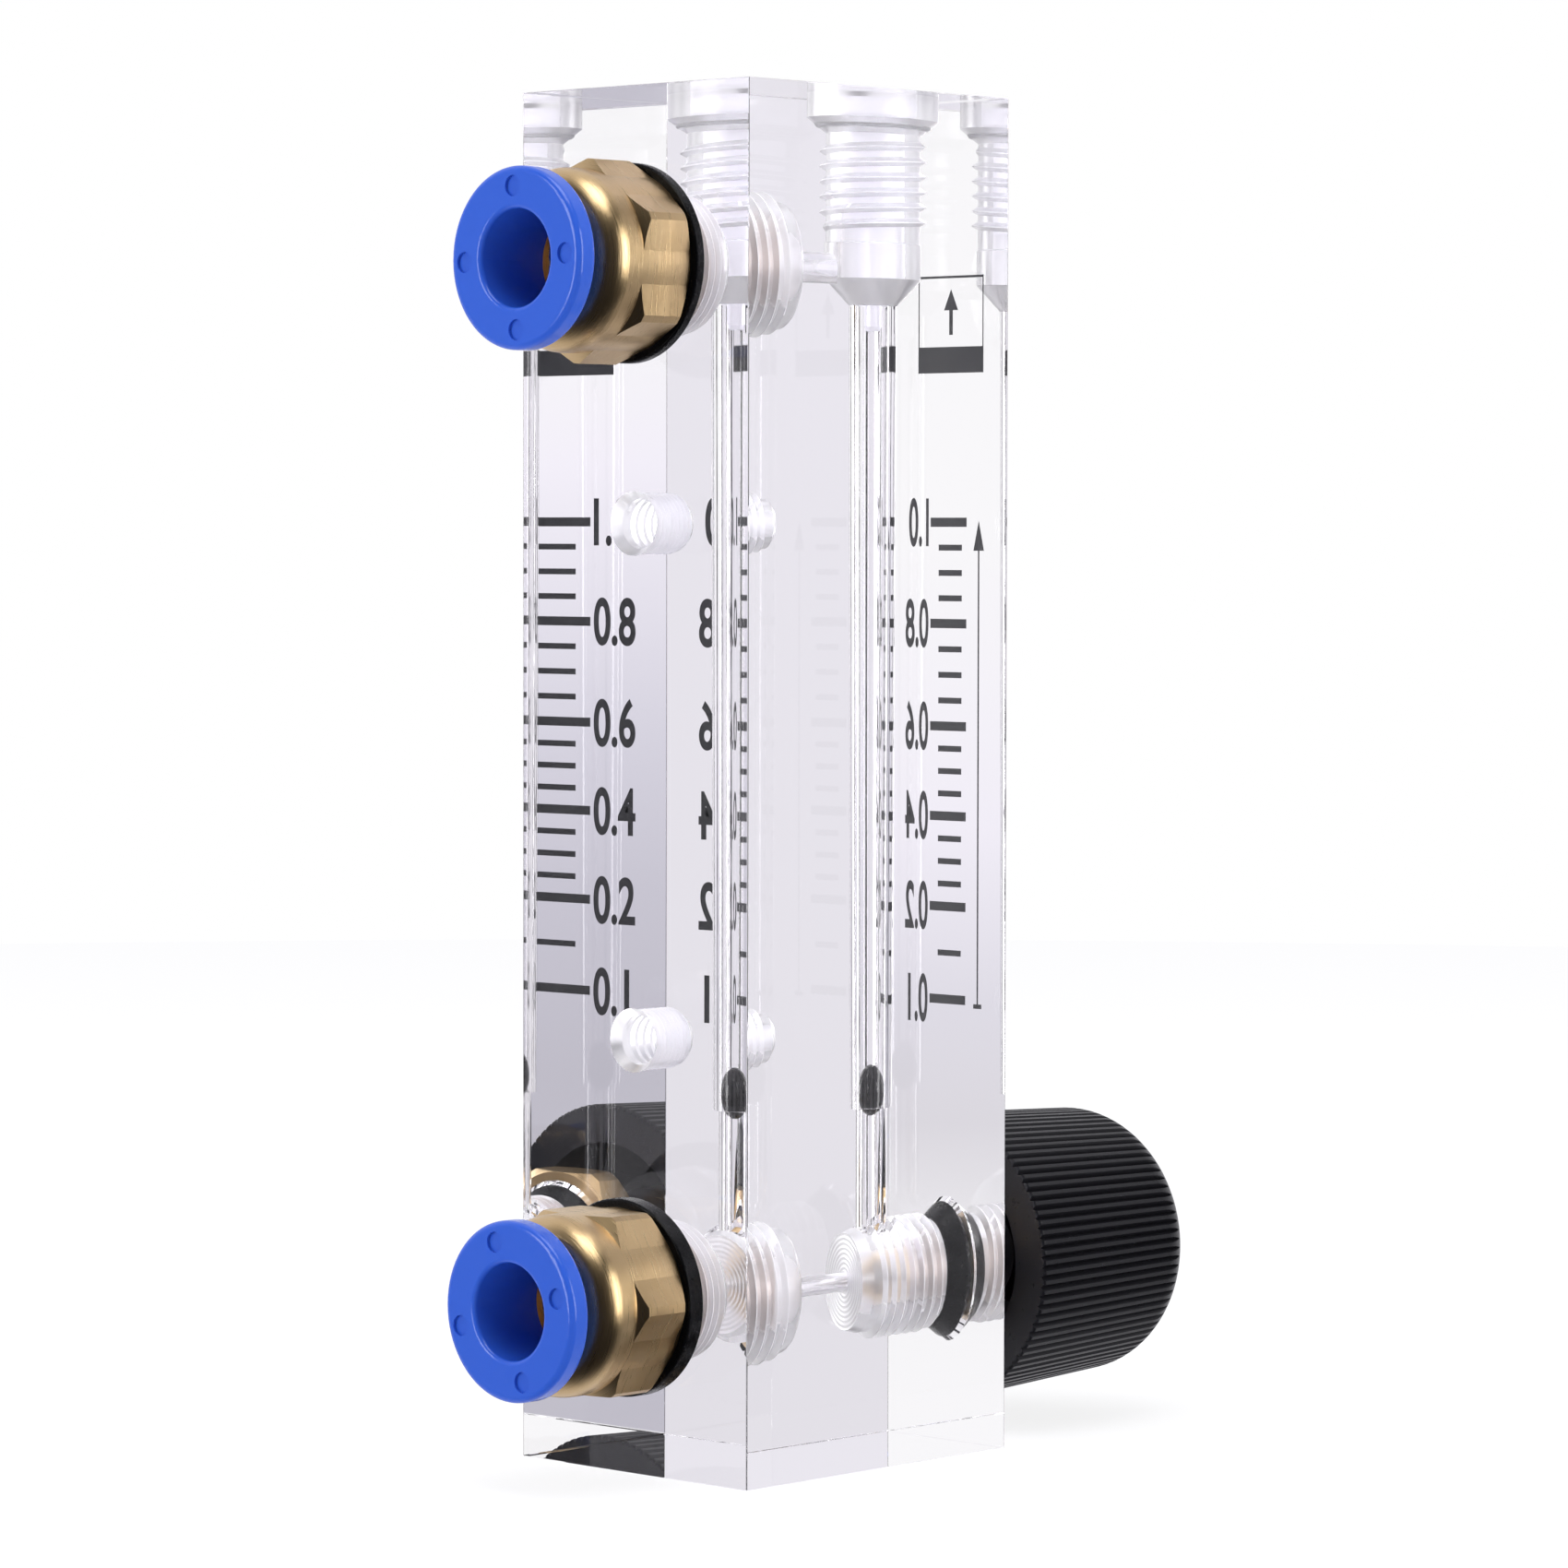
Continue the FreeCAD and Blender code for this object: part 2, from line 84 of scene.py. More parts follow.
PASSAGE_D = {"inlet": 1.3, "outlet": 2.0}
VALVE_THREAD_D = 8.0
VALVE_DEPTH = 10.1
VALVE_END_D = 6.5
VALVE_THREAD_START = -9.1
VALVE_MOUTH_D = 9.8
VALVE_MOUTH_DEPTH = 1.9
STOP_AHEAD = 0.7                 # bushing's inner step, in front of the block
STOP_BORE_D = 4.2
STOP_GAP = 0.03                  # left between that step and the piston's shoulder
MOUNT_THREAD_D = 4.0
MOUNT_MOUTH_D = 4.2
MOUNT_DEPTH = 7.7
MOUNT_SPACING = 33.5
MOUNT_PITCH = 0.7
FINE_PITCH = 1.0                 # of the ports and the plug
VALVE_PITCH = 0.9
THREAD_DEPTH = 0.54              # for each millimetre of pitch
RUNOUT = 0.4                     # share of a turn over which a thread fades in and out
LEAD = 0.05                      # plain length before and after a thread
CLEARANCE = 0.05                 # between a male thread and the acrylic
CREST_DEPTH = 0.04               # band round the nominal diameter that counts as crest
OVERSHOOT = 0.5                  # reach of a cutter outside the block
BORE_OVERLAP = 0.4               # reach of the inlet's passage into the valve hole
mount_heights = [block_high.z / 2 - MOUNT_SPACING / 2, block_high.z / 2 + MOUNT_SPACING / 2]


# ---------------------------------------------------------------- materials

def linear(hex_colour):
    """Linear RGBA of an sRGB hex colour."""
    channels = [int(hex_colour[i:i + 2], 16) / 255 for i in (1, 3, 5)]
    return tuple(c / 12.92 if c <= 0.04045 else ((c + 0.055) / 1.055) ** 2.4 for c in channels) + (1.0,)


def add(tree, kind, inputs=None, **settings):
    """Adds a node; inputs gives each socket a value or the socket that feeds it."""
    made = tree.nodes.new(kind)
    for key, value in settings.items():
        setattr(made, key, value)
    for key, value in (inputs or {}).items():
        if isinstance(value, bpy.types.NodeSocket):
            tree.links.new(value, made.inputs[key])
        else:
            made.inputs[key].default_value = value
    return made


def new_material(name):
    """An empty node material and its output node."""
    material = bpy.data.materials.new(name)
    material.use_nodes = True
    tree = material.node_tree
    tree.nodes.clear()
    return material, tree, add(tree, "ShaderNodeOutputMaterial")


def finish_surface(tree, output, shader):
    tree.links.new(shader.outputs[0], output.inputs["Surface"])


def noise(tree, scale, detail, roughness=0.5):
    """Noise over the object, scaled per axis in patterns per millimetre."""
    place = add(tree, "ShaderNodeTexCoord").outputs["Object"]
    per_metre = tuple(s / MM for s in scale)
    vector = add(tree, "ShaderNodeMapping", {"Vector": place, "Scale": per_metre}).outputs[0]
    return add(tree, "ShaderNodeTexNoise", {"Vector": vector, "Scale": 1.0, "Detail": detail,
                                            "Roughness": roughness}).outputs["Fac"]


def ranged(tree, value, low, high):
    """Maps a 0 to 1 pattern to low to high."""
    return add(tree, "ShaderNodeMapRange", {"Value": value, "To Min": low, "To Max": high}).outputs[0]


def ranged_from(tree, value, low, high):
    """Maps low to high onto 0 to 1."""
    return add(tree, "ShaderNodeMapRange", {"Value": value, "From Min": low, "From Max": high}).outputs[0]


def ramp(tree, value, stops):
    """Colour ramp through (position, hex colour) stops."""
    made = add(tree, "ShaderNodeValToRGB", {"Fac": value})
    scale = made.color_ramp
    scale.elements[0].position, scale.elements[1].position = stops[0][0], stops[-1][0]
    for position, _ in stops[1:-1]:
        scale.elements.new(position)
    for element, (_, colour) in zip(scale.elements, stops):
        element.color = linear(colour)
    return made.outputs["Color"]


def bumped(tree, height, depth_mm):
    """Surface normal over a relief of this depth."""
    return add(tree, "ShaderNodeBump", {"Height": height, "Distance": depth_mm * MM}).outputs[0]


def mix_colours(tree, factor, first, second):
    made = add(tree, "ShaderNodeMix", {"Factor": factor, "A": first, "B": second}, data_type="RGBA")
    return made.outputs["Result"]


def acrylic(name, pattern, roughness, bump_mm, clearness=1.0, mirror=0.25):
    """Clear PMMA whose surface a noise pattern makes rougher or smoother; it casts a light shadow."""
    material, tree, output = new_material(name)
    marks = noise(tree, pattern, 5.0, 0.65)
    glass = add(tree, "ShaderNodeBsdfPrincipled", {"Base Color": linear("#FDFCFE"), "IOR": 1.49,
                                                   "Roughness": ranged(tree, marks, *roughness),
                                                   "Transmission Weight": clearness,
                                                   "Specular IOR Level": mirror,
                                                   "Normal": bumped(tree, marks, bump_mm)})
    lets_through = add(tree, "ShaderNodeBsdfTransparent", {"Color": linear("#F4F4F9")})
    rays = add(tree, "ShaderNodeLightPath")
    finish_surface(tree, output, add(tree, "ShaderNodeMixShader", {0: rays.outputs["Is Shadow Ray"],
                                                                   1: glass.outputs[0],
                                                                   2: lets_through.outputs[0]}))
    return material


# Cast PMMA, flame-polished outside: as clear as glass, a few hairline rubs only soften a highlight.
POLISHED = acrylic("cast_acrylic_polished", (0.15, 0.15, 0.6), (0.0, 0.012), 0.0)
# Its metering tube is reamed: nearly clear, with faint lengthwise streaks that break up what is behind.
REAMED = acrylic("cast_acrylic_reamed", (5.0, 5.0, 0.08), (0.0, 0.025), 0.003, mirror=0.12)
# Its cross passages are drilled: milky, so that the needle's tip shows as a grey shape.
DRILLED = acrylic("cast_acrylic_drilled", (1.5, 1.5, 1.5), (0.08, 0.18), 0.005, 0.82)
# Its threads and counterbores stay as cut: frosted white, their crests drawn as fine bright rings.
MACHINED = acrylic("cast_acrylic_machined", (1.2, 1.2, 1.2), (0.25, 0.38), 0.006, 0.72)
# Thread crests are narrow burrs that scatter all the light they catch: thin bright lines.
CREST = acrylic("cast_acrylic_thread_crest", (3.0, 3.0, 3.0), (0.3, 0.5), 0.01, 0.2)


def turned_brass(name, bright, shaded, roughness):
    """Free-cutting brass with lathe rings along its axis and a broad, faint change of tone."""
    material, tree, output = new_material(name)
    rings = noise(tree, (0.3, 14.0, 0.3), 3.0, 0.65)
    stain = noise(tree, (0.35, 0.35, 0.35), 3.0)
    colour = mix_colours(tree, ranged(tree, stain, 0.0, 0.6), linear(bright), linear(shaded))
    metal = add(tree, "ShaderNodeBsdfPrincipled", {"Base Color": colour, "Metallic": 1.0,
                                                   "Roughness": ranged(tree, rings, *roughness),
                                                   "Normal": bumped(tree, rings, 0.012)})
    finish_surface(tree, output, metal)
    return material


def grained(name, pattern, detail, roughness, look, bump_mm=0.0):
    """A surface of one noise pattern, which sets its roughness and any fine relief."""
    material, tree, output = new_material(name)
    grain = noise(tree, pattern, detail)
    inputs = {**look, "Roughness": ranged(tree, grain, *roughness)}
    if bump_mm:
        inputs["Normal"] = bumped(tree, grain, bump_mm)
    finish_surface(tree, output, add(tree, "ShaderNodeBsdfPrincipled", inputs))
    return material


def knob_nylon():
    # Black glass-filled nylon: deep black, its rib crests worn to a fine broken gloss.
    material, tree, output = new_material("moulded_black_nylon")
    skin = noise(tree, (1.6, 0.8, 1.6), 5.0, 0.6)
    fine = noise(tree, (7.0, 1.2, 7.0), 4.0, 0.7)
    plastic = add(tree, "ShaderNodeBsdfPrincipled", {"Base Color": linear("#18181C"), "IOR": 1.5,
                                                     "Specular IOR Level": 0.2,
                                                     "Roughness": ranged(tree, skin, 0.2, 0.42),
                                                     "Normal": bumped(tree, fine, 0.02)})
    finish_surface(tree, output, plastic)
    return material


def printed_ink():
    # Screen-printed black ink: thin and matt, a little uneven in its cover.
    material, tree, output = new_material("screen_ink")
    cover = noise(tree, (6.0, 6.0, 6.0), 4.0, 0.7)
    colour = mix_colours(tree, ranged(tree, cover, 0.0, 0.5), linear("#161619"), linear("#2C2C31"))
    ink = add(tree, "ShaderNodeBsdfPrincipled", {"Base Color": colour, "IOR": 1.5,
                                                 "Roughness": ranged(tree, cover, 0.5, 0.7)})
    finish_surface(tree, output, ink)
    return material


# Bright turned brass outside: warm yellow, with long soft highlights.
BRASS = turned_brass("turned_brass", "#DCC196", "#B5925C", (0.2, 0.4))
# Its threads are cut and never polished: greyer and duller, pinkish behind the frosted acrylic.
CUT_BRASS = turned_brass("thread_cut_brass", "#C3B2A6", "#96867C", (0.3, 0.48))
# Turned stainless steel: cool grey metal with rings round the stem.
STEEL = grained("turned_stainless", (0.4, 16.0, 0.4), 3.0, (0.15, 0.3),
                {"Base Color": linear("#C9C6C2"), "Metallic": 1.0}, 0.004)
# Stamped spring steel sheet: bright, with a faint rolled grain.
SPRING = grained("stamped_spring_steel", (12.0, 1.0, 1.5), 3.0, (0.2, 0.35),
                 {"Base Color": linear("#B9B8B5"), "Metallic": 1.0})
# Injection-moulded acetal: waxy blue with a soft gloss and light passing a little way in.
BLUE = grained("blue_acetal", (2.5, 2.5, 2.5), 3.0, (0.16, 0.26),
               {"Base Color": linear("#3160D2"), "IOR": 1.48, "Subsurface Weight": 0.1,
                "Subsurface Scale": 0.0006, "Subsurface Radius": (0.3, 0.5, 1.0)}, 0.01)
# Black nitrile rubber, moulded smooth: deep black with a narrow sheen on its rounded rims.
RUBBER = grained("nitrile_rubber", (5.0, 5.0, 5.0), 4.0, (0.2, 0.32),
                 {"Base Color": linear("#070709"), "IOR": 1.5, "Specular IOR Level": 0.2}, 0.01)
# Translucent silicone: milky, it almost vanishes inside the frosted counterbore.
SILICONE = grained("silicone_rubber", (3.0, 3.0, 3.0), 2.0, (0.35, 0.5),
                   {"Base Color": linear("#F4F4F4"), "IOR": 1.41, "Transmission Weight": 0.6})
# Polished black glass ball: near black with small sharp highlights.
GLASS_BALL = grained("black_float_glass", (1.5, 1.5, 1.5), 3.0, (0.03, 0.09),
                     {"Base Color": linear("#060608"), "IOR": 1.52, "Specular IOR Level": 0.35})
NYLON, INK = knob_nylon(), printed_ink()


# ---------------------------------------------------------------- mesh helpers

class Thread:
    """A helical thread between two rings, from base_r out to crest_r; turns counts the full turns."""
    flats = ((0.0, 0), (0.4, 0), (0.64, 1), (0.72, 1))    # share of the pitch, and 0 for base or 1 for crest
    crest_share = 0.68

    def __init__(self, base_r, crest_r, start, turns, pitch):
        self.base_r, self.crest_r = base_r, crest_r
        self.start, self.turns, self.pitch = start, turns, pitch


def lathe(path, segments=72):
    """Closed mesh of revolution about Z through (radius, height) corners and Threads, from axis to axis.

    A Thread starts on the ring before it and is closed by the ring after it.
    """
    form = bmesh.new()

    def point(radius, height, step=0.0):
        angle = 2 * math.pi * step / segments
        return form.verts.new((radius * math.cos(angle), radius * math.sin(angle), height))

    def ring(radius, height):
        if radius == 0:
            return [point(0, height)]
        return [point(radius, height, step) for step in range(segments)]

    def bridge(below, above):
        for j in range(segments):
            k = (j + 1) % segments
            corners = [below[j % len(below)], below[k % len(below)],
                       above[k % len(above)], above[j % len(above)]]
            form.faces.new(list(dict.fromkeys(corners)))

    def cut_thread(below, thread):
        last = thread.turns * segments
        fade_steps = segments * RUNOUT
        strips = []
        for step in range(last + 1):
            fade = min(1.0, step / fade_steps, (last - step) / fade_steps)
            reach = (thread.crest_r - thread.base_r) * fade
            height = thread.start + thread.pitch * step / segments
            strips.append([point(thread.base_r + reach * crest, height + thread.pitch * share, step)
                           for share, crest in Thread.flats])
        line = [strip[0] for strip in strips]
        for step in range(last + 1, last + segments + 1):
            line.append(point(thread.base_r, thread.start + thread.pitch * step / segments, step))
        for step in range(last):
            near = strips[step] + [line[step + segments]]
            far = strips[step + 1] + [line[step + 1 + segments]]
            for here in range(len(near) - 1):
                form.faces.new([near[here], far[here], far[here + 1], near[here + 1]])
        for j in range(segments - 1):
            form.faces.new([below[j], below[j + 1], line[j + 1], line[j]])
        form.faces.new([below[-1], below[0]] + strips[0] + [line[segments], line[segments - 1]])
        return line[last:], strips[-1]

    def close_thread(helix, seam, above):
        form.faces.new([helix[0], helix[1], above[1], above[0], helix[-1]] + seam[:0:-1])
        for j in range(1, segments):
            form.faces.new([helix[j], helix[j + 1], above[(j + 1) % segments], above[j]])

    edge, seam = ring(*path[0]), None
    for item in path[1:]:
        if isinstance(item, Thread):
            edge, seam = cut_thread(edge, item)
            continue
        above = ring(*item)
        if seam:
            close_thread(edge, seam, above)
        else:
            bridge(edge, above)
        edge, seam = above, None
    bmesh.ops.recalc_face_normals(form, faces=form.faces)
    return form


def as_object(form, name, materials=()):
    mesh = bpy.data.meshes.new(name)
    form.to_mesh(mesh)
    form.free()
    made = bpy.data.objects.new(name, mesh)
    bpy.context.scene.collection.objects.link(made)
    for material in materials:
        mesh.materials.append(material)
    return made


def aim(form, origin, direction):
    """Moves a form drawn along +Z to origin with its +Z turned to direction."""
    turn = UP.rotation_difference(direction).to_matrix().to_4x4()
    bmesh.ops.transform(form, matrix=Matrix.Translation(origin) @ turn, verts=form.verts)
    return form


def baked(made):
    """Replaces an object's mesh with the result of its modifiers, and takes them off."""
    depsgraph = bpy.context.evaluated_depsgraph_get()
    mesh = bpy.data.meshes.new_from_object(made.evaluated_get(depsgraph))
    made.modifiers.clear()
    made.data = mesh
    return made


def box_form(size, centre):
    """A cube drawn out to a size and moved to its centre."""
    form = bmesh.new()
    bmesh.ops.create_cube(form, size=1.0)
    bmesh.ops.scale(form, vec=size, verts=form.verts)
    bmesh.ops.translate(form, vec=centre, verts=form.verts)
    return form


def cut_away(made, tool):
    """Takes the tool's shape out of an object and removes the tool."""
    step = made.modifiers.new("cut", "BOOLEAN")
    step.operation = "DIFFERENCE"
    step.solver = "EXACT"
    step.object = tool
    baked(made)
    bpy.data.objects.remove(tool)


def finish_piece(made, body, slot, *nodes, smooth_deg=32):
    """Shrinks a piece to metres, smooths its round faces and gives it to its body."""
    made.data.transform(Matrix.Scale(MM, 4))
    made.data.shade_smooth()
    made.data.set_sharp_from_angle(angle=math.radians(smooth_deg))
    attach(made, body)
    if nodes:
        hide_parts(*nodes)
    return made


def thread_radii(major_d, pitch):
    """Base and crest radius of an internal thread."""
    return major_d / 2 - THREAD_DEPTH * pitch, major_d / 2


# ---------------------------------------------------------------- acrylic block

def tube_cavity():
    """Feed bore, tapered tube, funnel, chamber, plug thread and counterbore, from below upwards."""
    base_r, crest_r = thread_radii(PLUG_THREAD_D, FINE_PITCH)
    thread = Thread(base_r, crest_r, PLUG_THREAD_START, 6, FINE_PITCH)
    thread_end = PLUG_THREAD_START + (thread.turns + 1) * FINE_PITCH
    over_top = block_high.z + 2 * OVERSHOOT
    path = [(0, valve_height), (FEED_BORE_D / 2, valve_height), (FEED_BORE_D / 2, LEDGE_HEIGHT),
            (TUBE_D[0] / 2, LEDGE_HEIGHT), (TUBE_D[1] / 2, TUBE_TOP), (CHAMBER_D / 2, CHAMBER_FLOOR),
            (CHAMBER_D / 2, PLUG_THREAD_START - 0.2), (base_r, PLUG_THREAD_START - 0.1), thread,
            (base_r, thread_end + 0.02), (COUNTERBORE_D / 2, COUNTERBORE_FLOOR),
            (COUNTERBORE_D / 2, over_top), (0, over_top)]
    return aim(lathe(path, 96), Vector((0, tube_y, 0)), UP)


def port_cavity(side):
    """Threaded port in the back face with its passage inwards, whose end meets the tube or the valve hole."""
    base_r, crest_r = thread_radii(PORT_THREAD_D, FINE_PITCH)
    block_depth = block_high.y - block_low.y
    far_end = {"inlet": VALVE_DEPTH - block_depth - BORE_OVERLAP, "outlet": tube_y - block_high.y}[side]
    passage_r = PASSAGE_D[side] / 2
    path = [(0, far_end), (passage_r, far_end), (passage_r, -PORT_DEPTH)]
    round_steps = 4
    for step in range(round_steps + 1):
        angle = math.radians(90 * step / round_steps)
        path.append((base_r - PORT_END_ROUND * (1 - math.sin(angle)),
                     PORT_THREAD_START - PORT_END_ROUND * math.cos(angle)))
    thread = Thread(base_r, crest_r, PORT_THREAD_START, 6, FINE_PITCH)
    flare = 0.6
    path += [thread, (base_r, PORT_THREAD_START + (thread.turns + 1) * FINE_PITCH + LEAD),
             (PORT_MOUTH_D / 2, 0), (PORT_MOUTH_D / 2 + flare, flare), (0, flare)]
    return aim(lathe(path), Vector((0, block_high.y, port_height[side])), BACK)


def valve_cavity():
    """Valve hole in the front face: its flat end carries fine tool rings, its mouth is countersunk."""
    base_r, crest_r = thread_radii(VALVE_THREAD_D, VALVE_PITCH)
    mouth_slope = (VALVE_MOUTH_D / 2 - base_r) / VALVE_MOUTH_DEPTH
    path = [(0, -VALVE_DEPTH)]
    tool_rings, ring_rise = 20, 0.03
    for ring in range(1, tool_rings + 1):
        path.append((VALVE_END_D / 2 * ring / tool_rings, -VALVE_DEPTH + ring_rise * (ring % 2)))
    path += [(base_r, VALVE_THREAD_START), Thread(base_r, crest_r, VALVE_THREAD_START, 7, VALVE_PITCH),
             (base_r, -VALVE_MOUTH_DEPTH), (VALVE_MOUTH_D / 2 + mouth_slope * OVERSHOOT, OVERSHOOT),
             (0, OVERSHOOT)]
    return aim(lathe(path), Vector((0, block_low.y, valve_height)), FRONT)


def mount_cavity(height):
    """Blind tapped hole in the back face with a bevelled end."""
    base_r, crest_r = thread_radii(MOUNT_THREAD_D, MOUNT_PITCH)
    end_bevel = 0.5
    start = -MOUNT_DEPTH + MOUNT_PITCH
    thread = Thread(base_r, crest_r, start, 8, MOUNT_PITCH)
    thread_end = start + (thread.turns + 1.1) * MOUNT_PITCH
    path = [(0, -MOUNT_DEPTH), (base_r - end_bevel, -MOUNT_DEPTH), (base_r, -MOUNT_DEPTH + end_bevel),
            (base_r, start - LEAD), thread, (base_r, thread_end), (MOUNT_MOUTH_D / 2, 0),
            (MOUNT_MOUTH_D / 2 + OVERSHOOT, OVERSHOOT), (0, OVERSHOOT)]
    return aim(lathe(path, 48), Vector((0, block_high.y, height)), BACK)


BLOCK_FINISHES = (POLISHED, MACHINED, REAMED, DRILLED, CREST)


def acrylic_finish(centre):
    """Finish of the block's face with this centre."""
    def from_axis(height):
        return math.hypot(centre.x, centre.z - height)

    near = 0.05
    above_valve = valve_height + 2
    valve_end = block_low.y + VALVE_DEPTH
    from_tube = math.hypot(centre.x, centre.y - tube_y)
    if from_tube < TUBE_D[1] / 2 + near and above_valve < centre.z < TUBE_TOP + near / 5:
        return REAMED
    from_port = min(from_axis(height) for height in port_height.values())
    if from_port < PASSAGE_D["outlet"] / 2 and centre.y > valve_end + 2 * near:
        return DRILLED
    below_surface = min(block_high.x - abs(centre.x), block_high.y - abs(centre.y),
                        centre.z, block_high.z - centre.z)
    in_valve_mouth = centre.y < block_low.y + VALVE_MOUTH_DEPTH and centre.z < 2 * valve_height
    if below_surface < BLOCK_EDGE or in_valve_mouth:
        return POLISHED
    holes = [(from_tube, PLUG_THREAD_D)]
    if centre.y < valve_end:
        holes.append((from_axis(valve_height), VALVE_THREAD_D))
    else:
        holes += [(from_port, PORT_THREAD_D)]
        holes += [(from_axis(height), MOUNT_THREAD_D) for height in mount_heights]
    on_crest = any(abs(across - major_d / 2) < CREST_DEPTH for across, major_d in holes)
    return CREST if on_crest else MACHINED


def acrylic_block():
    """Clear block with broken edges and all its holes, each face with its own finish."""
    form = box_form(block_high - block_low - Vector((0, 2 * SEAT_GAP, 0)), (block_low + block_high) / 2)
    bmesh.ops.bevel(form, geom=form.edges[:], offset=BLOCK_EDGE, segments=2, profile=0.5, affect="EDGES")
    made = as_object(form, "clear_block", BLOCK_FINISHES)
    cavities = [tube_cavity(), valve_cavity(), port_cavity("inlet"), port_cavity("outlet")]
    cavities += [mount_cavity(height) for height in mount_heights]
    for cavity in cavities:
        cut_away(made, as_object(cavity, "cavity"))
    for face in made.data.polygons:
        face.material_index = BLOCK_FINISHES.index(acrylic_finish(face.center))
    return finish_piece(made, "meter", "acrylic", "block", smooth_deg=12)


# ---------------------------------------------------------------- plug

def tube_plug():
    """Threaded plug with its slotted head and the float's stop, from its tip upwards."""
    base_r, crest_r = thread_radii(PLUG_THREAD_D, FINE_PITCH)
    plug_low, plug_high = node_box("top_plug")
    ring_high = node_box("top_plug_o_ring")[1].z
    head_r = (plug_high.x - plug_low.x) / 2
    gap_over_ring = 0.03
    head_low = ring_high + gap_over_ring
    head_edge = 0.1
    tip_flat_r, tip_r, tip_edge = 0.8, 1.1, 0.3
    stem_r, stem_taper = 1.75, 0.8
    lead_in, shank_bevel = 0.2, 0.3
    core_r = base_r - CLEARANCE
    thread = Thread(core_r, crest_r - CLEARANCE, PLUG_THREAD_START + FINE_PITCH, 4, FINE_PITCH)
    thread_end = thread.start + (thread.turns + 1) * FINE_PITCH
    shank_end = thread.start - lead_in
    path = [(0, plug_low.z), (tip_flat_r, plug_low.z), (tip_r, plug_low.z + tip_edge),
            (tip_r, CHAMBER_FLOOR - stem_taper), (stem_r, CHAMBER_FLOOR), (stem_r, shank_end),
            (base_r - shank_bevel, shank_end), (core_r, thread.start - LEAD), thread,
            (core_r, thread_end + LEAD),
            (core_r, head_low), (head_r, head_low), (head_r, plug_high.z - head_edge),
            (head_r - head_edge, plug_high.z), (0, plug_high.z)]
    made = as_object(aim(lathe(path), Vector((0, tube_y, 0)), UP), "tube_plug", (MACHINED,))
    slot_width, slot_depth = 1.6, 0.7
    slot = box_form((COUNTERBORE_D, slot_width, 2 * slot_depth), (0, tube_y, plug_high.z))
    cut_away(made, as_object(slot, "slot"))
    return finish_piece(made, "meter", "acrylic", "top_plug")


# ---------------------------------------------------------------- geometry-node pieces

def node_group(name, inputs):
    """A geometry node tree with the named float inputs, and its input and output nodes."""
    tree = bpy.data.node_groups.new(name, "GeometryNodeTree")
    for label, default in inputs.items():
        socket = tree.interface.new_socket(label, in_out="INPUT", socket_type="NodeSocketFloat")
        socket.default_value = default
    tree.interface.new_socket("Geometry", in_out="OUTPUT", socket_type="NodeSocketGeometry")
    return tree, add(tree, "NodeGroupInput"), add(tree, "NodeGroupOutput")


def finish_tree(tree, shape, result, material):
    """Realizes the shape's instances and gives it its material."""
    real = add(tree, "GeometryNodeRealizeInstances", {"Geometry": shape.outputs[0]})
    coated = add(tree, "GeometryNodeSetMaterial", {"Geometry": real.outputs[0], "Material": material})
    tree.links.new(coated.outputs[0], result.inputs[0])
    return tree


def grown(tree, name, values):
    """Runs a geometry node tree with the given inputs and returns the plain mesh object."""
    made = as_object(bmesh.new(), name)
    step = made.modifiers.new("grow", "NODES")
    step.node_group = tree
    names = {item.name: item.identifier for item in tree.interface.items_tree if item.in_out == "INPUT"}
    for label, value in values.items():
        step[names[label]] = value
    return baked(made)


def thread_ridge_tree(material):
    """A helical ridge of triangular section, as on the shanks of the brass fittings."""
    sizes = {"Radius": 4.2, "Depth": 0.5, "Pitch": 1.0, "Turns": 5.0}
    tree, given, result = node_group("thread_ridge", sizes)
    height = add(tree, "ShaderNodeMath", {0: given.outputs["Pitch"], 1: given.outputs["Turns"]},
                 operation="MULTIPLY")
    helix = add(tree, "GeometryNodeCurveSpiral", {"Resolution": 64, "Rotations": given.outputs["Turns"],
                                                  "Start Radius": given.outputs["Radius"],
                                                  "End Radius": given.outputs["Radius"],
                                                  "Height": height.outputs[0], "Reverse": True})
    upright = add(tree, "GeometryNodeSetCurveNormal", {"Curve": helix.outputs[0]}, mode="Z_UP")
    section = add(tree, "GeometryNodeCurvePrimitiveCircle", {"Resolution": 3,
                                                             "Radius": given.outputs["Depth"]})
    swept = add(tree, "GeometryNodeCurveToMesh", {"Curve": upright.outputs[0],
                                                  "Profile Curve": section.outputs[0], "Fill Caps": True})
    return finish_tree(tree, swept, result, material)


